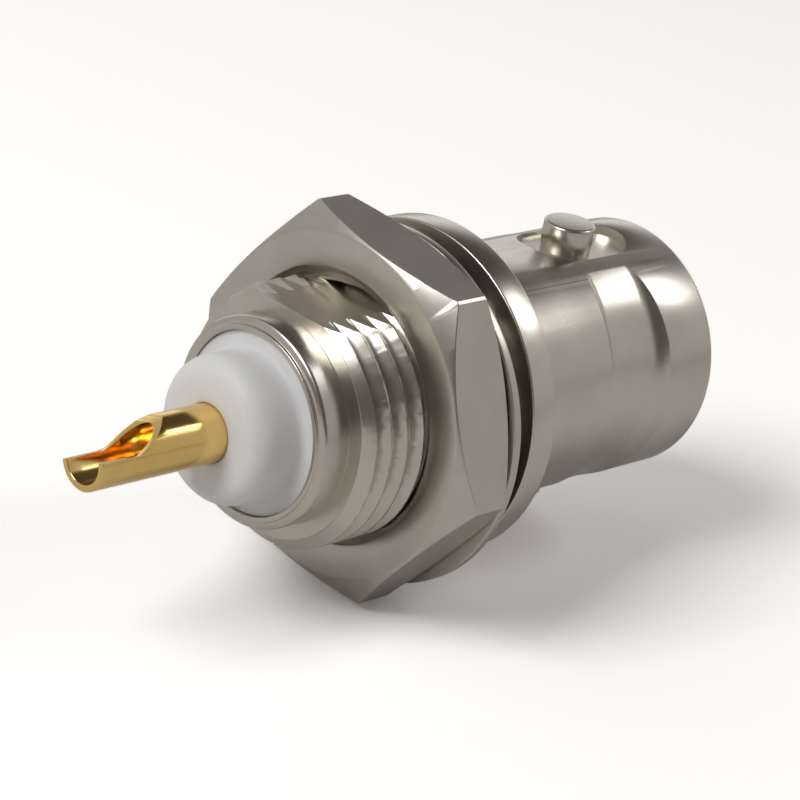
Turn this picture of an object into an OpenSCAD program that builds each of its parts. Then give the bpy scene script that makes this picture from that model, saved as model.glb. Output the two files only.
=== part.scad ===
// BNC bulkhead jack with a solder cup, for a D-shaped panel hole.
// The axis is X: the mating end points to +X, the solder cup to -X.
// X = 0 is the face of the flange that sits on the panel, and +Z runs through the upper lug.

/* [Barrel] */
// Outer diameter of the mating barrel
barrel_d = 9.6; // [9.4:0.05:9.8]
// From the flange's front face to the mating end
barrel_l = 10.6; // [10:0.1:11.5]
// Bore that takes the plug's outer contact
mouth_d = 8.12; // [8.1:0.01:8.2]
// Depth of that bore
mouth_depth = 5.3; // [5:0.1:6]

/* [Bayonet] */
// Diameter of each lug
lug_d = 1.96; // [1.9:0.01:2.06]
// Size over both lugs
over_lugs = 11.04; // [10.9:0.01:11.1]
// From the mating end to the lugs' centre line
lug_setback = 4.4; // [4:0.1:5.2]
// Depth of the waist that the lugs stand in
waist_depth = 0.45; // [0.2:0.05:0.5]
// Length of the waist along the axis
waist_l = 3.2; // [2.6:0.05:3.4]
// Height of the flat land under each lug, from the axis
land_h = 4.45; // [4.4:0.01:4.6]

/* [Flange] */
// Diameter of the flange
flange_d = 12.5; // [12:0.1:14]
// Thickness of the flange
flange_t = 1.2; // [0.8:0.1:2]

/* [Threaded tail] */
// Major diameter of the panel thread, 3/8 inch
thread_d = 9.525; // [9.4:0.005:9.6]
// Thread pitch, 32 turns to the inch
thread_pitch = 0.79375; // [0.7:0.01:1]
// Number of full thread ridges
thread_turns = 7; // [5:1:7]
// Size across the D flat
flat_across = 8.87; // [8.8:0.01:9.4]
// Diameter of the smooth collar behind the thread
collar_d = 7.56; // [7.4:0.02:8]
// Length of that collar
collar_l = 1.28; // [1:0.01:2]
// Hole in the rolled lip that holds the rear insulator
lip_hole_d = 6.58; // [6.4:0.02:6.7]

/* [Nut] */
// Size across the nut's flats, 1/2 inch
nut_af = 12.7; // [12:0.1:14.5]
// Thickness of the nut
nut_t = 2.6; // [2:0.1:3]
// Rear face of the nut where it stands on the thread
nut_rear_x = -4; // [-4.6:0.1:-3.6]
// Turn of the nut about the axis, degrees
nut_clock = -21.5; // [-30:0.5:30]

/* [Washer] */
// Outer diameter of the lock washer
washer_d = 13.3; // [12.4:0.1:14]
// Diameter inside its teeth
washer_hole_d = 10.32; // [10.2:0.02:10.6]
// Thickness of the washer
washer_t = 0.38; // [0.3:0.02:0.6]
// How far the loose washer hangs below the axis
washer_drop = 0.36; // [0:0.02:0.36]
// Number of teeth
washer_teeth = 12; // [8:1:14]

/* [Insulators] */
// Diameter of the rear insulator's stub
stub_d = 5.3; // [4.8:0.1:5.8]
// How far the stub stands out behind the rolled lip
stub_l = 1.85; // [1:0.05:3]
// Diameter of the boss inside the mouth
boss_d = 4.8; // [4.6:0.05:4.9]
// How far the boss stops short of the mating end
boss_setback = 0.5; // [0.3:0.1:1.5]

/* [Centre contact] */
// Diameter of the contact
contact_d = 2.1; // [2:0.05:2.2]
// Bore of the socket for the plug's pin
socket_bore_d = 1.38; // [1.34:0.01:1.42]
// Depth of that bore
socket_depth = 4.6; // [4:0.1:5]
// Width of the four slots in the socket
slot_w = 0.26; // [0.2:0.01:0.3]
// How far the contact reaches behind the flange's panel face
cup_reach = 15.2; // [14:0.1:17]
// Bore of the solder cup
cup_bore_d = 1.64; // [1.5:0.02:1.7]
// Depth of the solder cup
cup_depth = 4.1; // [3.6:0.1:4.6]
// Turn of the cup's open side about the axis, degrees
cup_clock = -19; // [-180:1:180]

/* [Hidden] */
$fn = 96;
over = 0.2;                             // how far a cutting tool runs past a face

// stations along the axis
mating_x = flange_t + barrel_l;
shoulder_x = mating_x - mouth_depth;    // floor of the mouth, where the plug's contact stops
lug_x = mating_x - lug_setback;
waist_x = mating_x - 4.15;              // middle of the waist
relief_l = 0.85;                        // plain neck between the thread and the flange
thread_x = -relief_l - thread_turns * thread_pitch;
tail_x = thread_x - thread_pitch / 4;   // rear face of the threaded part
collar_x = tail_x - collar_l;           // rear edge of the rolled lip
shelf_t = 0.8;                          // wall that the front insulator seats against
shelf_x = shoulder_x - shelf_t;

// radii
barrel_r = barrel_d / 2;
collar_r = collar_d / 2;
flange_r = flange_d / 2;
crest_r = thread_d / 2;
thread_depth = 0.56 * thread_pitch;
root_r = crest_r - thread_depth;
cavity_r = 3.42;                        // bore that holds both insulators
lip_t = 0.25;                           // length of the rolled lip along the axis
land_w = lug_d + 0.2;
edge = 0.12;                            // broken edge on turned corners

// the land for the contact's collar between the two insulators
contact_collar_r = 1.55;
contact_collar_l = 0.8;
contact_collar_x = -0.6;
joint_x = contact_collar_x + contact_collar_l; // where the two insulators meet
insulator_gap = 0.01;                   // between each insulator and the metal round it
contact_tip_x = mating_x - boss_setback - 0.3;

// Points of a rounded corner in a [radius, station] profile, from angle a0 to a1 about [r, x].
function corner(r, x, rad, a0, a1, steps = 6) = [
    for (i = [0 : steps]) let (a = a0 + (a1 - a0) * i / steps) [r + rad * cos(a), x + rad * sin(a)]
];

// Turns a profile of [radius, station] points about the X axis.
module turned(profile) {
    rotate([90, 0, 90]) rotate_extrude() polygon(profile);
}

// A straight round bar or tool along X.
module bar(r, x0, x1) {
    translate([x0, 0, 0]) rotate([90, 0, 90]) cylinder(r = r, h = x1 - x0);
}

// One thread ridge of 60 degree form, as profile points from its rear root to its front root.
function ridge(x) = let (crest = thread_pitch / 16, foot = crest + thread_depth * tan(30)) [
    [root_r, x - foot], [crest_r, x - crest], [crest_r, x + crest], [root_r, x + foot]
];

// Profile of the threaded length, from the tail's rear face to the neck at the flange.
function thread_profile() = [
    for (i = [0 : thread_turns - 1]) each ridge(thread_x + (i + 0.5) * thread_pitch)
];

module tail_and_flange() {
    lip_round = 0.34;
    turned(concat(
        [[0, collar_x]],
        corner(collar_r - lip_round, collar_x + lip_round, lip_round, -90, 0),
        [[collar_r, tail_x], [root_r + 0.1, tail_x], [root_r + 0.14, tail_x + 0.05],
         [root_r, tail_x + 0.13]],
        thread_profile(),
        [[root_r, 0], [flange_r - edge, 0], [flange_r, edge], [flange_r, flange_t - edge],
         [flange_r - edge, flange_t], [0, flange_t]]));
}

module barrel() {
    nose_round = 0.3;
    turned(concat([[0, 0], [barrel_r, 0]],
                  corner(barrel_r - nose_round, mating_x - nose_round, nose_round, 0, 90),
                  [[0, mating_x]]));
}

// The waist: a level floor with a tight fillet at the rear and a wide one up to the front ring.
module waist_cutter() {
    floor_r = barrel_r - waist_depth;
    rear_fillet = waist_depth;
    front_fillet = 0.75;
    x0 = waist_x - waist_l / 2 + rear_fillet;
    x1 = waist_x + waist_l / 2 - sqrt(pow(front_fillet, 2) - pow(front_fillet - waist_depth, 2));
    rotate([90, 0, 90]) rotate_extrude() {
        translate([floor_r, x0]) square([1, x1 - x0]);
        translate([floor_r + rear_fillet, x0]) circle(r = rear_fillet);
        translate([floor_r + front_fillet, x1]) circle(r = front_fillet);
    }
}

// Flat-topped land across the waist, with the round lug standing on it. The lug tapers in to its
// foot, below the part that runs in the plug's slot.
module lug_on_land() {
    lug_r = lug_d / 2;
    taper = 0.12;
    taper_z = barrel_r + 0.07;
    top_z = over_lugs / 2;
    top_edge = 0.1;
    translate([waist_x - waist_l / 2 - 0.1, -land_w / 2, mouth_d / 2 + 0.1])
        cube([waist_l + 0.2, land_w, land_h - mouth_d / 2 - 0.1]);
    translate([lug_x, 0, 0]) rotate_extrude() polygon([
        [0, mouth_d / 2 + 0.1], [lug_r - taper, mouth_d / 2 + 0.1], [lug_r, taper_z],
        [lug_r, top_z - top_edge], [lug_r - top_edge, top_z], [0, top_z]]);
}

// Everything that is bored out of the body from both ends.
module body_bores() {
    bar(mouth_d / 2, shoulder_x, mating_x + over);
    turned([[0, mating_x - 0.2], [mouth_d / 2, mating_x - 0.2], [mouth_d / 2 + 0.24, mating_x],
            [mouth_d / 2 + 0.24, mating_x + over], [0, mating_x + over]]);
    bar(boss_d / 2 + insulator_gap, shelf_x - over, shoulder_x + over);
    bar(cavity_r, collar_x + lip_t, shelf_x);
    bar(lip_hole_d / 2, collar_x - over, collar_x + lip_t + over);
}

// The panel flat, milled along the whole thread.
module d_flat_cutter() {
    flat_z = flat_across - crest_r;
    translate([collar_x - over, -flange_r, flat_z]) cube([-collar_x + over, flange_d, flange_r]);
}

module body() {
    color("Silver") difference() {
        union() {
            difference() {
                union() {
                    difference() {
                        tail_and_flange();
                        d_flat_cutter();
                    }
                    barrel();
                }
                waist_cutter();
            }
            for (side = [0, 180]) rotate([side, 0, 0]) lug_on_land();
        }
        body_bores();
    }
}

module front_insulator() {
    seat_r = cavity_r - insulator_gap;
    boss_x = mating_x - boss_setback;
    color("White") difference() {
        turned(concat([[0, joint_x], [seat_r, joint_x], [seat_r, shelf_x], [boss_d / 2, shelf_x]],
                      corner(boss_d / 2 - 0.3, boss_x - 0.3, 0.3, 0, 90), [[0, boss_x]]));
        bar(contact_d / 2 + insulator_gap, -over, contact_tip_x);
        bar(0.85, contact_tip_x - over, boss_x + over);
    }
}

module rear_insulator() {
    seat_r = cavity_r - insulator_gap;
    lip_r = lip_hole_d / 2 - insulator_gap;
    stub_r = stub_d / 2;
    end_x = collar_x - stub_l;
    end_round = 0.7;
    foot_round = 0.2;
    lip_x = collar_x + lip_t + insulator_gap;
    color("White") difference() {
        turned(concat([[0, end_x]],
                      corner(stub_r - end_round, end_x + end_round, end_round, -90, 0),
                      corner(stub_r + foot_round, collar_x + 0.14 - foot_round, foot_round, 180, 90),
                      [[lip_r, collar_x + 0.14], [lip_r, lip_x], [seat_r, lip_x],
                       [seat_r, joint_x - insulator_gap], [0, joint_x - insulator_gap]]));
        bar(contact_d / 2 + insulator_gap, end_x - over, over);
        bar(contact_collar_r + insulator_gap, contact_collar_x, joint_x + over);
    }
}

// Side view of what is milled off the cup: level along the axis, then an S-curve up to the tube.
module cup_scoop() {
    scoop_x0 = -cup_reach + 1.5;
    scoop_l = 2.2;
    rise = 1.1;
    steps = 12;
    s_curve = [for (i = [0 : steps]) let (u = i / steps)
        [scoop_x0 + scoop_l * u, rise * u * u * (3 - 2 * u)]];
    rotate([cup_clock, 0, 0]) rotate([90, 0, 0]) linear_extrude(contact_d + 1, center = true)
        polygon(concat([[-cup_reach - over, 0]], s_curve,
                       [[scoop_x0 + scoop_l, 2 * rise], [-cup_reach - over, 2 * rise]]));
}

module centre_contact() {
    slot_l = socket_depth - 0.6;
    r = contact_d / 2;
    color("Gold") difference() {
        union() {
            turned([[0, -cup_reach], [r, -cup_reach], [r, contact_tip_x - 0.25],
                    [r - 0.15, contact_tip_x], [0, contact_tip_x]]);
            bar(contact_collar_r, contact_collar_x + 0.02, contact_collar_x + contact_collar_l - 0.02);
        }
        bar(socket_bore_d / 2, contact_tip_x - socket_depth, contact_tip_x + over);
        turned([[0, contact_tip_x - 0.15], [socket_bore_d / 2, contact_tip_x - 0.15],
                [socket_bore_d / 2 + 0.15, contact_tip_x + 0.001], [0, contact_tip_x + 0.001]]);
        bar(cup_bore_d / 2, -cup_reach - over, -cup_reach + cup_depth);
        for (turn = [0, 90]) rotate([turn, 0, 0])
            translate([contact_tip_x - slot_l, -slot_w / 2, -r - over])
                cube([slot_l + over, slot_w, contact_d + 2 * over]);
        cup_scoop();
    }
}

// Ring with teeth that point inwards, each twisted a little so that its corners bite.
module lock_washer() {
    tooth_w = 0.8;
    tooth_t = 0.26;
    root = washer_hole_d / 2 + 0.5;
    rear_x = nut_rear_x + nut_t + 0.07;
    color("Gainsboro") translate([rear_x, 0, -washer_drop]) {
        difference() {
            bar(washer_d / 2, 0, washer_t);
            bar(root, -over, washer_t + over);
        }
        for (i = [0 : washer_teeth - 1]) rotate([i * 360 / washer_teeth, 0, 0])
            translate([washer_t / 2, 0, (washer_hole_d / 2 + root + 0.1) / 2]) rotate([0, 0, 12])
                cube([tooth_t, tooth_w, root + 0.1 - washer_hole_d / 2], center = true);
    }
}

module hex_nut() {
    corner_r = nut_af / 2 / cos(30);
    face_r = nut_af / 2 - 0.1;
    chamfer = (corner_r + 0.1 - face_r) * tan(30);
    bore_r = crest_r + 0.04;
    sink_r = 5.05;
    sink_l = 0.35;
    color("Silver") translate([nut_rear_x, 0, 0]) difference() {
        intersection() {
            rotate([nut_clock, 0, 0]) rotate([90, 0, 90]) rotate(90) cylinder(r = corner_r, h = nut_t, $fn = 6);
            turned([[0, 0], [face_r, 0], [corner_r + 0.1, chamfer], [corner_r + 0.1, nut_t - chamfer],
                    [face_r, nut_t], [0, nut_t]]);
        }
        bar(bore_r, -over, nut_t + over);
        turned([[0, -over], [sink_r, -over], [sink_r, 0], [bore_r, sink_l], [0, sink_l]]);
        turned([[0, nut_t + over], [sink_r, nut_t + over], [sink_r, nut_t], [bore_r, nut_t - sink_l],
                [0, nut_t - sink_l]]);
    }
}

body();
front_insulator();
rear_insulator();
centre_contact();
lock_washer();
hex_nut();
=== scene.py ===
"""BNC bulkhead jack, dressed for a likeness: the shapes that CAD leaves plain (a true helical thread,
broken edges, a fine solder cup) and the materials, set up under a soft studio light."""
import math
import random

import bmesh
import bpy
from mathutils import Matrix, Vector


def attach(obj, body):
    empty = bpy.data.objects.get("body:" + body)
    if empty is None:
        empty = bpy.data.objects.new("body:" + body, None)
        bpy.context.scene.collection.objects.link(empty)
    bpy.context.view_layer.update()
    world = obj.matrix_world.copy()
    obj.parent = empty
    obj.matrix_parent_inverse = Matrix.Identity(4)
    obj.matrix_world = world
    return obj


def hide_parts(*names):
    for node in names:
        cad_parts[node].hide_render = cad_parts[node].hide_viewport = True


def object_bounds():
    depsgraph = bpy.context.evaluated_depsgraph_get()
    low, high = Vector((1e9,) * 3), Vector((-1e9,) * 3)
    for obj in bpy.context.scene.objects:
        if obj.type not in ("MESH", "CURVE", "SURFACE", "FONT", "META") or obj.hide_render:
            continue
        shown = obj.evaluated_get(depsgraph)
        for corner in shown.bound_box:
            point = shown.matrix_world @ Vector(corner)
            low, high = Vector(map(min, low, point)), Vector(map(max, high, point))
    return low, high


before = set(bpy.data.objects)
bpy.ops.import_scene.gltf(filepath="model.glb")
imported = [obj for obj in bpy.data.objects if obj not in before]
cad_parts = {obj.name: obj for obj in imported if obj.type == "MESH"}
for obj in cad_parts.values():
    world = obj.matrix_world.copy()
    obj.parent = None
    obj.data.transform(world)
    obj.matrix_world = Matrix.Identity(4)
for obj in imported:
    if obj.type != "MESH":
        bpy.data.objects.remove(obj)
cad_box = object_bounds()

MM = 0.001
TAU = 2 * math.pi
PITCH = 0.79375            # panel thread, 32 turns to the inch
CREST_R = 4.7625
ROOT_R = 4.318
NECK_R = ROOT_R - 0.015     # plain neck between the thread and the flange
CREST_X = -6.095           # a crest of the tail's thread on the +Z side
FLAT_Z = 4.1075            # height of the D flat
TAIL_X = -6.6              # rear face of the threaded tail
LIP_X = -7.88              # rear edge of the rolled lip
BARREL_R = 4.8
MATING_X = 11.8
SHOULDER_X, SHELF_X = 6.5, 5.7
TIP_X = 11.0               # front end of the contact
SEAT_X, SEAT_W, SEAT_H = (5.295, 10.145), 2.84, 4.42
HOLLOW_OFFSET = 0.86
LUG_X = 7.4
LUG_TOP = 5.52
NUT_X = (-4.0, -1.4)
NUT_CLOCK = -21.5
CUP_CLOCK = -19.0
SEGMENTS = 192
random.seed(7)


# ---------------------------------------------------------------- mesh helpers

def arc(cx, cy, radius, a0, a1, steps):
    """Points of an arc, angles in degrees."""
    return [(cx + radius * math.cos(math.radians(a0 + (a1 - a0) * i / steps)),
             cy + radius * math.sin(math.radians(a0 + (a1 - a0) * i / steps))) for i in range(steps + 1)]


def rounded(points, steps=4):
    """Rounds the corners of a profile. Each point is (x, r, corner radius)."""
    out = []
    n = len(points)
    for i, (x, r, rad) in enumerate(points):
        if rad <= 0 or i in (0, n - 1):
            out.append((x, r))
            continue
        p = Vector((x, r))
        a = Vector(points[i - 1][:2]) - p
        b = Vector(points[(i + 1) % n][:2]) - p
        la, lb = a.length, b.length
        a.normalize()
        b.normalize()
        half = a.angle(b) / 2
        reach = min(rad / math.tan(half), la * 0.49, lb * 0.49)
        r_here = reach * math.tan(half)
        centre = p + (a + b).normalized() * (r_here / math.sin(half))
        start, end = p + a * reach - centre, p + b * reach - centre
        turn = start.angle_signed(end)
        for k in range(steps + 1):
            v = start.copy()
            v.rotate(Matrix.Rotation(-turn * k / steps, 2))
            out.append(tuple(centre + v))
    return out


def around(x, r, phi):
    """Point at station x and radius r, phi radians about +X from +Z towards -Y."""
    return (x * MM, -r * math.sin(phi) * MM, r * math.cos(phi) * MM)


def grid_faces(rows, cols, base=0, close_rows=False, close_cols=True):
    faces = []
    for i in range(rows if close_rows else rows - 1):
        for j in range(cols if close_cols else cols - 1):
            a, b = base + i * cols + j, base + i * cols + (j + 1) % cols
            c, d = base + ((i + 1) % rows) * cols + (j + 1) % cols, base + ((i + 1) % rows) * cols + j
            faces.append((a, b, c, d))
    return faces


def lathe(profile, closed=True, segments=SEGMENTS):
    """Turns (x, r) points about X. A closed profile gives a ring, an open one is capped on the axis."""
    verts = [around(x, r, TAU * j / segments) for x, r in profile for j in range(segments)]
    faces = grid_faces(len(profile), segments, close_rows=closed)
    if not closed:
        faces += [tuple(range(segments)), tuple(range(len(verts) - segments, len(verts)))]
    return verts, faces


def merged(*parts):
    verts, faces = [], []
    for v, f in parts:
        base = len(verts)
        verts += v
        faces += [tuple(k + base for k in face) for face in f]
    return verts, faces


def finish_mesh(mesh, sharp=27):
    """Outward normals, smooth shading, and hard edges where the surface turns by more than sharp degrees.
    A face with many corners is a plane left by a cut, and stays flat."""
    bm = bmesh.new()
    bm.from_mesh(mesh)
    bmesh.ops.remove_doubles(bm, verts=bm.verts, dist=1e-8)
    bmesh.ops.recalc_face_normals(bm, faces=bm.faces)
    for face in bm.faces:
        face.smooth = len(face.verts) <= 12
    for edge in bm.edges:
        edge.smooth = len(edge.link_faces) == 2 and edge.calc_face_angle(0) < math.radians(sharp)
    bm.to_mesh(mesh)
    bm.free()


def make_object(name, geometry):
    mesh = bpy.data.meshes.new(name)
    mesh.from_pydata(geometry[0], [], geometry[1])
    mesh.validate()
    finish_mesh(mesh)
    obj = bpy.data.objects.new(name, mesh)
    bpy.context.scene.collection.objects.link(obj)
    return obj


def bake_modifiers(obj):
    bpy.context.view_layer.update()
    graph = bpy.context.evaluated_depsgraph_get()
    mesh = bpy.data.meshes.new_from_object(obj.evaluated_get(graph))
    obj.modifiers.clear()
    obj.data = mesh


def cut(obj, geometry, operation="DIFFERENCE"):
    """Cuts a closed tool off a closed object, or keeps what they share."""
    tool = make_object("tool", geometry)
    mod = obj.modifiers.new("cut", "BOOLEAN")
    mod.operation = operation
    mod.solver = "EXACT"
    mod.object = tool
    bake_modifiers(obj)
    bpy.data.objects.remove(tool)


def bevel(obj, width, angle=30, segments=2):
    mod = obj.modifiers.new("bevel", "BEVEL")
    mod.width = width * MM
    mod.segments = segments
    mod.limit_method = "ANGLE"
    mod.angle_limit = math.radians(angle)
    mod.use_clamp_overlap = True
    bake_modifiers(obj)


def block(x0, x1, y0, y1, z0, z1):
    verts = [(x * MM, y * MM, z * MM) for x in (x0, x1) for y in (y0, y1) for z in (z0, z1)]
    return verts, [(0, 1, 3, 2), (4, 6, 7, 5), (0, 4, 5, 1), (2, 3, 7, 6), (0, 2, 6, 4), (1, 5, 7, 3)]


def turned_about_x(geometry, degrees):
    m = Matrix.Rotation(math.radians(degrees), 4, "X")
    return [tuple(m @ Vector(v)) for v in geometry[0]], geometry[1]


def moved(geometry, x=0.0, y=0.0, z=0.0):
    return [(v[0] + x * MM, v[1] + y * MM, v[2] + z * MM) for v in geometry[0]], geometry[1]


# ---------------------------------------------------------------- pieces

def thread_rod():
    """A closed rod with a true right-hand helix, longer than the tail at both ends."""
    crest, slope = PITCH / 16, (CREST_R - ROOT_R) * math.tan(math.radians(30))
    half = rounded([(-PITCH / 2, ROOT_R, 0), (-crest - slope, ROOT_R, 0.07), (-crest, CREST_R, 0.035),
                    (0, CREST_R, 0)], 4)
    section = half[:-1] + [(-s, r) for s, r in reversed(half[1:-1])]
    turns = 10
    cols = 288
    verts = []
    rows = 0
    for k in range(turns):
        for s, r in section:
            rows += 1
            for j in range(cols):
                phi = TAU * j / cols
                on_crest = max(0.0, (r - ROOT_R) / (CREST_R - ROOT_R)) ** 3
                nick = on_crest * 0.012 * (random.random() - 0.75)
                x = CREST_X + (k - 1.5) * PITCH + s + PITCH * j / cols
                verts.append(around(x, r + nick, phi))
    # each turn's last column meets the next turn's first row set, one pitch further on
    faces = []
    per_turn = len(section)
    for i in range(rows - 1):
        for j in range(cols - 1):
            faces.append((i * cols + j, i * cols + j + 1, (i + 1) * cols + j + 1, (i + 1) * cols + j))
        if i + 1 + per_turn < rows:
            a, b = i * cols + cols - 1, (i + 1) * cols + cols - 1
            c, d = (i + 1 + per_turn) * cols, (i + per_turn) * cols
            faces.append((a, d, c, b))
    # plug both spiral ends with a fan to the axis, outside the part of the rod that is kept
    last = rows - 1
    start_loop = [i * cols for i in range(per_turn, -1, -1)] + list(range(1, cols))
    end_base = (rows - 1) * cols
    end_loop = [end_base + j for j in range(cols)] + \
        [(last - i) * cols + cols - 1 for i in range(1, per_turn + 1)]
    for loop, x in ((start_loop, CREST_X - 2.6 * PITCH), (end_loop, CREST_X + (turns - 0.4) * PITCH)):
        centre = len(verts)
        verts.append(around(x, 0, 0))
        for a, b in zip(loop, loop[1:] + loop[:1]):
            faces.append((a, b, centre))
    return verts, faces


def tail():
    """The threaded tail: helix, chamfered rear end, neck at the flange and the D flat."""
    rod = make_object("tail", thread_rod())
    envelope = rounded([(TAIL_X, 3.4, 0), (TAIL_X, 4.40, 0.04), (TAIL_X + 0.36, CREST_R + 0.05, 0.02),
                        (-0.95, CREST_R + 0.05, 0), (-0.80, NECK_R, 0.05), (0.3, NECK_R, 0), (0.3, 3.4, 0)])
    limits = make_object("limits", lathe(envelope))
    cut(limits, block(TAIL_X - 1, 0.001, -6, 6, FLAT_Z, 7))
    cut(rod, mesh_of(limits), "INTERSECT")
    bm = bmesh.new()
    bm.from_mesh(rod.data)
    bmesh.ops.dissolve_degenerate(bm, dist=5e-7, edges=bm.edges)
    bm.to_mesh(rod.data)
    bm.free()
    return rod


def mesh_of(obj):
    verts = [tuple(v.co) for v in obj.data.vertices]
    faces = [tuple(p.vertices) for p in obj.data.polygons]
    bpy.data.objects.remove(obj)
    return verts, faces


def shell_profile():
    """The turned form of the shell, from the rolled lip to the mating end and back through the bores."""
    outside = [(LIP_X, 3.38, 0), (LIP_X, 3.48, 0.04), (LIP_X + 0.1, 3.50, 0.03), (LIP_X + 0.12, 3.60, 0.03),
               (LIP_X + 0.2, 3.78, 0.3), (TAIL_X - 0.02, 3.78, 0.02), (TAIL_X + 0.02, 3.80, 0), (-0.3, 3.80, 0),
               (-0.1, ROOT_R - 0.05, 0), (0.0, ROOT_R - 0.02, 0.02), (0.0, 6.25, 0.07), (1.2, 6.25, 0.09),
               (1.2, BARREL_R, 0.12), (MATING_X, BARREL_R, 0.3)]
    bores = [(MATING_X, 4.30, 0.05), (MATING_X - 0.2, 4.06, 0.08), (SHOULDER_X, 4.06, 0.1), (SHOULDER_X, 2.41, 0.05),
             (SHELF_X, 2.41, 0.03), (SHELF_X, 3.42, 0.03), (LIP_X + 0.25, 3.42, 0), (LIP_X + 0.22, 3.29, 0.03),
             (LIP_X + 0.02, 3.30, 0.03)]
    return rounded(outside + bores, 5)


def flank_hollow():
    """A ring that cuts the hollow of the -Y flank: a shallow groove turned about an axis beyond the part's
    own, so that it runs out before the lugs."""
    floor_r = BARREL_R - 0.45 + HOLLOW_OFFSET
    x0, x1 = 6.025, 9.275
    rear, front, top = 0.7, 0.9, 0.7

    def foot(fillet):
        return math.sqrt(fillet ** 2 - (fillet - top) ** 2)

    profile = [(x0 + 0.534 - foot(rear), floor_r + top)]
    profile += [(x, r) for x, r in arc(x0 + 0.534, floor_r + rear, rear, 180, 270, 14)]
    profile += [(x, r) for x, r in arc(x1 - 0.779, floor_r + front, front, 270, 270 + 77, 14)]
    profile.append((x1 + 0.12, floor_r + top))
    return moved(lathe(profile, segments=320), y=HOLLOW_OFFSET)


def obround(x0, x1, half_width, z0, z1, steps=40):
    """A round-ended block that stands along Z."""
    ends = [(x1 - half_width, 0, -90), (x0 + half_width, 0, 90)]
    outline = [p for x, y, start in ends for p in arc(x, y, half_width, start, start + 180, steps)]
    n = len(outline)
    verts = [(x * MM, y * MM, z * MM) for z in (z0, z1) for x, y in outline]
    faces = [tuple(range(n)), tuple(range(2 * n - 1, n - 1, -1))]
    faces += [(i, (i + 1) % n, n + (i + 1) % n, n + i) for i in range(n)]
    return verts, faces


def shell():
    barrel = make_object("barrel", lathe(shell_profile(), segments=320))
    for side in (0, 180):
        cut(barrel, turned_about_x(flank_hollow(), side))
        cut(barrel, turned_about_x(obround(*SEAT_X, SEAT_W / 2, SEAT_H, 6.0), side))
    bevel(barrel, 0.03, angle=24)
    lug_profile = [(4.25, 0.93)] + rounded([(SEAT_H, 0.94, 0), (4.9, 0.98, 0), (LUG_TOP, 0.98, 0.12),
                                           (LUG_TOP, 0.0001, 0)], 6)
    lug = lathe(lug_profile, closed=False, segments=96)
    upright = [(LUG_X * MM + z, y, x) for x, y, z in lug[0]], lug[1]
    lugs = [turned_about_x(upright, side) for side in (0, 180)]
    return make_object("shell", merged(mesh_of(barrel), mesh_of(tail()), *lugs))


def nut_thread_r(x, phi):
    """Radius of the nut's internal thread, clear of the tail's own by a few hundredths."""
    s = (x - CREST_X - PITCH * phi / TAU) % PITCH
    s = min(s, PITCH - s)
    return min(4.83, max(4.42, CREST_R + 0.06 - (s - PITCH / 16) / math.tan(math.radians(30))))


def nut():
    across, face_r, sink_r, sink_l = 6.35, 6.25, 5.05, 0.36
    x0, x1 = NUT_X
    cols = 360
    rows = []

    def add(fn):
        rows.append([fn(TAU * j / cols) for j in range(cols)])

    def hex_r(phi):
        a = math.degrees(phi) - NUT_CLOCK
        a = (a + 30) % 60 - 30
        r = across / math.cos(math.radians(30 - abs(a)))
        return min(r, 7.30)

    def side_x(phi, front):
        drop = (hex_r(phi) - face_r) * math.tan(math.radians(30))
        return x1 - drop if front else x0 + drop

    steps = 60
    for i in range(steps + 1):
        x = x0 + 0.05 + (x1 - x0 - 0.1) * i / steps
        cone = max(sink_r - (x - x0) * (sink_r - 4.42) / 0.55, sink_r - (x1 - x) * (sink_r - 4.42) / 0.55)
        add(lambda phi, x=x, cone=cone: (x, max(nut_thread_r(x, phi), cone)))
    add(lambda phi: (x1 - 0.015, sink_r - 0.01))
    add(lambda phi: (x1, sink_r + 0.02))
    add(lambda phi: (x1, (sink_r + face_r) / 2))
    add(lambda phi: (x1, face_r - 0.02))
    add(lambda phi: (x1 - 0.012, face_r + 0.02))
    add(lambda phi: (side_x(phi, True) + 0.012, hex_r(phi) - 0.022))
    add(lambda phi: (side_x(phi, True) - 0.02, hex_r(phi)))
    add(lambda phi: ((side_x(phi, True) + side_x(phi, False)) / 2, hex_r(phi)))
    add(lambda phi: (side_x(phi, False) + 0.02, hex_r(phi)))
    add(lambda phi: (side_x(phi, False) - 0.012, hex_r(phi) - 0.022))
    add(lambda phi: (x0 + 0.012, face_r + 0.02))
    add(lambda phi: (x0, face_r - 0.02))
    add(lambda phi: (x0, (sink_r + face_r) / 2))
    add(lambda phi: (x0, sink_r + 0.02))
    add(lambda phi: (x0 + 0.015, sink_r - 0.01))
    verts = [around(x, r, TAU * j / cols) for row in rows for j, (x, r) in enumerate(row)]
    return make_object("nut", (verts, grid_faces(len(rows), cols, close_rows=True)))


def washer():
    rear, thick, outer, tip, root, drop = -1.33, 0.38, 6.65, 5.16, 5.66, 0.36
    ring = rounded([(rear, (outer + root) / 2, 0), (rear, outer, 0.05), (rear + thick, outer, 0.07),
                    (rear + thick, root, 0.04), (rear, root, 0.04), (rear, (outer + root) / 2 - 0.01, 0)])
    parts = [lathe(ring)]
    for i in range(12):
        tooth = make_object("tooth", block(-0.13, 0.13, -0.4, 0.4, tip, root + 0.1))
        bevel(tooth, 0.03)
        verts, faces = mesh_of(tooth)
        twist = Matrix.Rotation(math.radians(12), 4, "Z")
        verts = [tuple(twist @ Vector(v)) for v in verts]
        parts.append(turned_about_x(moved((verts, faces), x=rear + thick / 2), i * 30))
    return make_object("washer", moved(merged(*parts), z=-drop))


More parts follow.
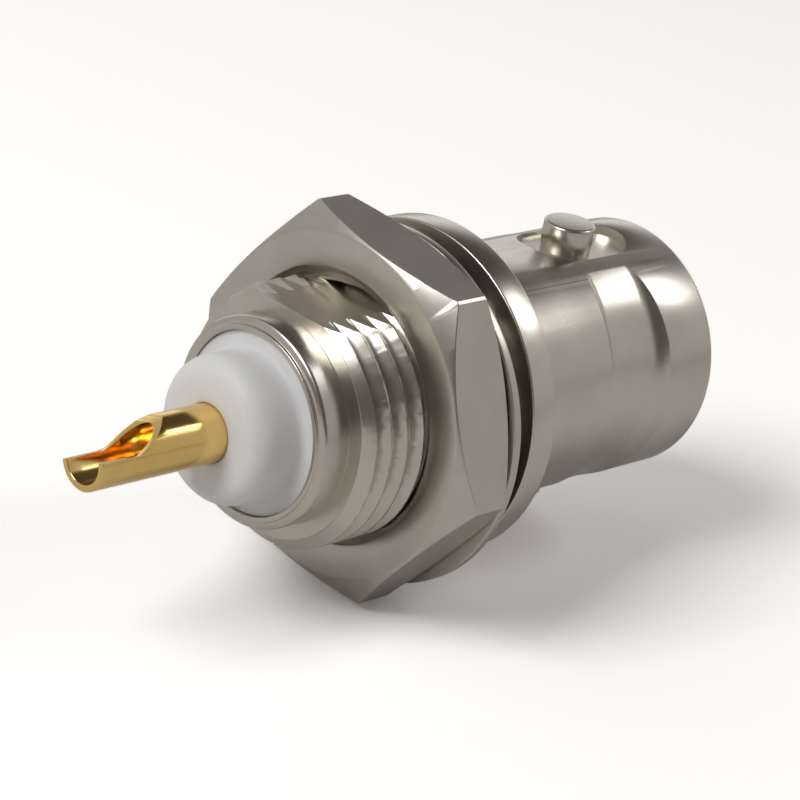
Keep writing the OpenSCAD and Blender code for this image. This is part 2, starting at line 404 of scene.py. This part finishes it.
def rear_insulator():
    end_x = LIP_X - 1.85
    profile = rounded([(end_x + 0.03, 1.07, 0), (end_x, 1.15, 0.03), (end_x, 2.65, 0.72), (LIP_X + 0.14, 2.66, 0.22),
                       (LIP_X + 0.14, 3.27, 0.02), (LIP_X + 0.3, 3.27, 0), (LIP_X + 0.3, 3.40, 0), (0.18, 3.40, 0),
                       (0.18, 1.56, 0), (-0.6, 1.56, 0), (-0.6, 1.07, 0)], 8)
    return make_object("insulator_rear", lathe(profile, segments=144))


def front_insulator():
    profile = rounded([(TIP_X, 0.86, 0), (11.28, 0.86, 0.02), (11.3, 0.92, 0.03), (11.3, 2.4, 0.3),
                       (SHELF_X + 0.01, 2.4, 0.02), (SHELF_X - 0.01, 3.41, 0.02), (0.2, 3.41, 0), (0.2, 1.07, 0),
                       (TIP_X, 1.07, 0)], 6)
    return make_object("insulator_front", lathe(profile, segments=144))


def contact():
    r, bore, tip = 1.05, 0.80, -15.2
    outline = rounded([(tip + 0.02, bore, 0), (tip, bore + 0.03, 0.02), (tip, r, 0.05), (-14.6, r, 0), (-14.0, r, 0),
                       (-13.4, r, 0), (-12.8, r, 0), (-12.2, r, 0), (-11.6, r, 0), (-11.0, r, 0), (-10.2, r, 0),
                       (-0.58, r, 0), (-0.58, 1.55, 0.05), (0.18, 1.55, 0.05), (0.18, r, 0), (10.2, r, 0),
                       (TIP_X, r, 0.16), (TIP_X, 0.83, 0.03), (TIP_X - 0.15, 0.69, 0.03), (6.4, 0.69, 0),
                       (6.2, 0.0005, 0)], 4)
    inner = [(-11.25, 0.0005), (-11.1, 0.3), (-11.1 + 0.02, 0.62), (-11.2, 0.76), (-11.4, bore), (-11.6, bore),
             (-12.2, bore), (-12.8, bore), (-13.4, bore), (-14.0, bore), (-14.6, bore)]
    piece = make_object("contact", lathe(outline + inner, segments=96))
    scoop = [(tip - 0.3, 0.0)]
    for i in range(25):
        u = i / 24
        scoop.append((-13.7 + 2.2 * u, 1.1 * u * u * (3 - 2 * u)))
    scoop += [(-11.5, 2.2), (tip - 0.3, 2.2)]
    n = len(scoop)
    verts = [(x * MM, y * MM, z * MM) for y in (-1.6, 1.6) for x, z in scoop]
    faces = [tuple(range(n)), tuple(range(2 * n - 1, n - 1, -1))]
    faces += [(i, i + n, (i + 1) % n + n, (i + 1) % n) for i in range(n)]
    cut(piece, turned_about_x((verts, faces), CUP_CLOCK))
    for angle in (0, 90):
        cut(piece, turned_about_x(block(7.0, 11.3, -0.13, 0.13, -1.3, 1.3), angle))
    bevel(piece, 0.02, angle=40)
    finish_mesh(piece.data)
    return piece


# ---------------------------------------------------------------- materials

def new_material(name):
    mat = bpy.data.materials.new(name)
    mat.use_nodes = True
    tree = mat.node_tree
    return mat, tree, tree.nodes["Principled BSDF"]


def noise(tree, coords, scale, detail=2.0, stretch=(1, 1, 1), rough=0.5):
    mapping = tree.nodes.new("ShaderNodeMapping")
    mapping.inputs["Scale"].default_value = stretch
    tex = tree.nodes.new("ShaderNodeTexNoise")
    tex.inputs["Scale"].default_value = scale
    tex.inputs["Detail"].default_value = detail
    tex.inputs["Roughness"].default_value = rough
    tree.links.new(coords, mapping.inputs["Vector"])
    tree.links.new(mapping.outputs["Vector"], tex.inputs["Vector"])
    return tex.outputs["Fac"]


def ramp(tree, value, stops):
    node = tree.nodes.new("ShaderNodeValToRGB")
    node.color_ramp.elements[0].position, node.color_ramp.elements[0].color = stops[0][0], (*stops[0][1], 1)
    node.color_ramp.elements[1].position, node.color_ramp.elements[1].color = stops[-1][0], (*stops[-1][1], 1)
    for pos, col in stops[1:-1]:
        node.color_ramp.elements.new(pos).color = (*col, 1)
    tree.links.new(value, node.inputs["Fac"])
    return node.outputs["Color"]


def scaled(tree, value, low, high):
    node = tree.nodes.new("ShaderNodeMapRange")
    node.inputs["To Min"].default_value = low
    node.inputs["To Max"].default_value = high
    tree.links.new(value, node.inputs["Value"])
    return node.outputs["Result"]


def bump(tree, value, strength, distance, normal=None):
    node = tree.nodes.new("ShaderNodeBump")
    node.inputs["Strength"].default_value = strength
    node.inputs["Distance"].default_value = distance
    tree.links.new(value, node.inputs["Height"])
    if normal is not None:
        tree.links.new(normal, node.inputs["Normal"])
    return node.outputs["Normal"]


def metal(name, light, dark, rough, grain):
    """Plated metal: cloudy tone, fine turning lines round the X axis, and a few pits."""
    mat, tree, bsdf = new_material(name)
    coords = tree.nodes.new("ShaderNodeTexCoord").outputs["Object"]
    bsdf.inputs["Metallic"].default_value = 1.0
    cloud = noise(tree, coords, 420, 3)
    tree.links.new(ramp(tree, cloud, [(0.35, dark), (0.65, light)]), bsdf.inputs["Base Color"])
    turning = noise(tree, coords, 900, 2, (40, 1, 1))
    smear = noise(tree, coords, 2600, 3)
    tree.links.new(scaled(tree, cloud, rough[0], rough[1]), bsdf.inputs["Roughness"])
    n = bump(tree, turning, grain, 2e-6)
    n = bump(tree, smear, 0.25, 3e-6, n)
    tree.links.new(n, bsdf.inputs["Normal"])
    return mat


def fluoropolymer():
    mat, tree, bsdf = new_material("ptfe")
    coords = tree.nodes.new("ShaderNodeTexCoord").outputs["Object"]
    cloud = noise(tree, coords, 300, 3)
    tone = ramp(tree, cloud, [(0.3, (0.80, 0.80, 0.815)), (0.7, (0.86, 0.86, 0.87))])
    tree.links.new(tone, bsdf.inputs["Base Color"])
    tree.links.new(scaled(tree, cloud, 0.35, 0.5), bsdf.inputs["Roughness"])
    bsdf.inputs["Subsurface Weight"].default_value = 0.5
    bsdf.inputs["Subsurface Radius"].default_value = (0.001, 0.001, 0.001)
    bsdf.inputs["Subsurface Scale"].default_value = 0.6
    bsdf.inputs["Specular IOR Level"].default_value = 0.35
    turning = noise(tree, coords, 700, 2, (6, 1, 1))
    tree.links.new(bump(tree, turning, 0.2, 6e-6), bsdf.inputs["Normal"])
    return mat


nickel = metal("nickel", (0.68, 0.64, 0.575), (0.62, 0.58, 0.52), (0.22, 0.30), 0.5)
nut_nickel = metal("nut_nickel", (0.64, 0.60, 0.54), (0.58, 0.545, 0.49), (0.26, 0.36), 0.4)
gold = metal("gold", (0.95, 0.68, 0.27), (0.86, 0.58, 0.20), (0.12, 0.2), 0.35)
ptfe = fluoropolymer()

PIECES = [
    (shell, "jack", "body", "shell_plating", nickel),
    (nut, "nut", "hex_nut", "nut_plating", nut_nickel),
    (washer, "washer", "lock_washer", "washer_plating", nut_nickel),
    (rear_insulator, "jack", "rear_insulator", "ptfe", ptfe),
    (front_insulator, "jack", "front_insulator", "ptfe", ptfe),
    (contact, "jack", "centre_contact", "gold_plating", gold),
]
for build, body, node, slot, material in PIECES:
    piece = build()
    piece.data.materials.clear()
    piece.data.materials.append(material)
    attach(piece, body)
    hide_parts(node)


# ---------------------------------------------------------------- studio

CAM_AT = Vector((-77.739, -67.582, 42.879)) * MM
FORWARD = Vector((0.6948, 0.6054, -0.3883)).normalized()
UP = Vector((0.1628, 0.3934, 0.9048)).normalized()
RIGHT = FORWARD.cross(UP).normalized()


def look_matrix(at, forward, up):
    right = forward.cross(up).normalized()
    up = right.cross(forward).normalized()
    m = Matrix.Identity(4)
    for i in range(3):
        m[i][0], m[i][1], m[i][2], m[i][3] = right[i], up[i], -forward[i], at[i]
    return m


def soft_light(name, direction, distance, size, power, colour=(1, 1, 1)):
    """An area lamp. direction is (right, up, forward) as the camera sees it, from the part."""
    d = (RIGHT * direction[0] + UP * direction[1] + FORWARD * direction[2]).normalized()
    lamp = bpy.data.lights.new(name, "AREA")
    lamp.shape = "RECTANGLE"
    lamp.size, lamp.size_y = size
    lamp.energy = power
    lamp.color = colour
    obj = bpy.data.objects.new(name, lamp)
    bpy.context.scene.collection.objects.link(obj)
    obj.matrix_world = look_matrix(d * distance, -d, UP)


def camera():
    cam = bpy.data.cameras.new("camera")
    cam.sensor_width = 36
    cam.lens = 138.33
    cam.clip_start = 0.005
    cam.clip_end = 10
    obj = bpy.data.objects.new("camera", cam)
    bpy.context.scene.collection.objects.link(obj)
    obj.matrix_world = look_matrix(CAM_AT, FORWARD, UP)
    bpy.context.scene.camera = obj


def bright_to_camera(tree, plain, seen):
    """Mixes two shaders: one for the light in the scene, and one for what the camera sees directly."""
    path = tree.nodes.new("ShaderNodeLightPath")
    mix = tree.nodes.new("ShaderNodeMixShader")
    tree.links.new(path.outputs["Is Camera Ray"], mix.inputs[0])
    tree.links.new(plain, mix.inputs[1])
    tree.links.new(seen, mix.inputs[2])
    return mix.outputs[0]


def studio_floor():
    z = cad_box[0][2] - 0.0002
    size = 1.5
    mesh = bpy.data.meshes.new("floor")
    mesh.from_pydata([(-size, -size, z), (size, -size, z), (size, size, z), (-size, size, z)], [], [(0, 1, 2, 3)])
    obj = bpy.data.objects.new("floor", mesh)
    bpy.context.scene.collection.objects.link(obj)
    mat = bpy.data.materials.new("floor")
    mat.use_nodes = True
    tree = mat.node_tree
    tree.nodes.clear()
    out = tree.nodes.new("ShaderNodeOutputMaterial")
    paper = tree.nodes.new("ShaderNodeBsdfDiffuse")
    paper.inputs["Color"].default_value = (0.78, 0.77, 0.75, 1)
    lift = tree.nodes.new("ShaderNodeBsdfDiffuse")
    lift.inputs["Color"].default_value = (FLOOR_LIFT, FLOOR_LIFT, FLOOR_LIFT, 1)
    both = tree.nodes.new("ShaderNodeAddShader")
    tree.links.new(paper.outputs[0], both.inputs[0])
    tree.links.new(lift.outputs[0], both.inputs[1])
    tree.links.new(bright_to_camera(tree, paper.outputs[0], both.outputs[0]), out.inputs["Surface"])
    obj.data.materials.append(mat)


def lobe(tree, direction, start, end, axis):
    """1 where the world's direction is within the cosine end of a direction, 0 outside start."""
    d = (RIGHT * direction[0] + UP * direction[1] + FORWARD * direction[2]).normalized()
    dot = tree.nodes.new("ShaderNodeVectorMath")
    dot.operation = "DOT_PRODUCT"
    dot.inputs[1].default_value = d
    tree.links.new(axis, dot.inputs[0])
    fade = tree.nodes.new("ShaderNodeMapRange")
    fade.interpolation_type = "SMOOTHSTEP"
    fade.inputs["From Min"].default_value = start
    fade.inputs["From Max"].default_value = end
    tree.links.new(dot.outputs["Value"], fade.inputs["Value"])
    return fade.outputs["Result"]


def studio_world():
    """Pale paper behind and round the part, and a dark room above it and behind the camera."""
    world = bpy.data.worlds.new("studio")
    bpy.context.scene.world = world
    world.use_nodes = True
    tree = world.node_tree
    tree.nodes.clear()
    axis = tree.nodes.new("ShaderNodeTexCoord").outputs["Generated"]
    colour = None
    for direction, start, end, tone in LOBES:
        if colour is None:
            rgb = tree.nodes.new("ShaderNodeRGB")
            rgb.outputs[0].default_value = (*tone, 1)
            colour = rgb.outputs[0]
            continue
        mix = tree.nodes.new("ShaderNodeMix")
        mix.data_type = "RGBA"
        tree.links.new(lobe(tree, direction, start, end, axis), mix.inputs["Factor"])
        tree.links.new(colour, mix.inputs[6])
        mix.inputs[7].default_value = (*tone, 1)
        colour = mix.outputs[2]
    room = tree.nodes.new("ShaderNodeBackground")
    tree.links.new(colour, room.inputs["Color"])
    white = tree.nodes.new("ShaderNodeBackground")
    white.inputs["Color"].default_value = (1, 1, 1, 1)
    out = tree.nodes.new("ShaderNodeOutputWorld")
    tree.links.new(bright_to_camera(tree, room.outputs[0], white.outputs[0]), out.inputs["Surface"])


FLOOR_LIFT = 0.95
# direction as the camera sees it (right, up, forward), cosine where it starts, cosine where it is full, colour
LOBES = [
    (None, 0, 0, (0.46, 0.45, 0.43)),
    ((0.0, 0.15, 1.0), 0.55, 0.85, (0.95, 0.94, 0.92)),
    ((0.25, 0.95, 0.15), 0.72, 0.92, (0.07, 0.06, 0.05)),
    ((0.0, 0.1, -1.0), 0.25, 0.75, (0.10, 0.095, 0.085)),
]
studio_floor()
studio_world()
soft_light("right_box", (0.82, 0.58, 0.05), 0.35, (0.08, 0.11), 0.11)
soft_light("key", (-0.45, 0.55, -0.7), 0.4, (0.2, 0.2), 0.8)
camera()
bpy.context.scene.view_settings.view_transform = "Standard"
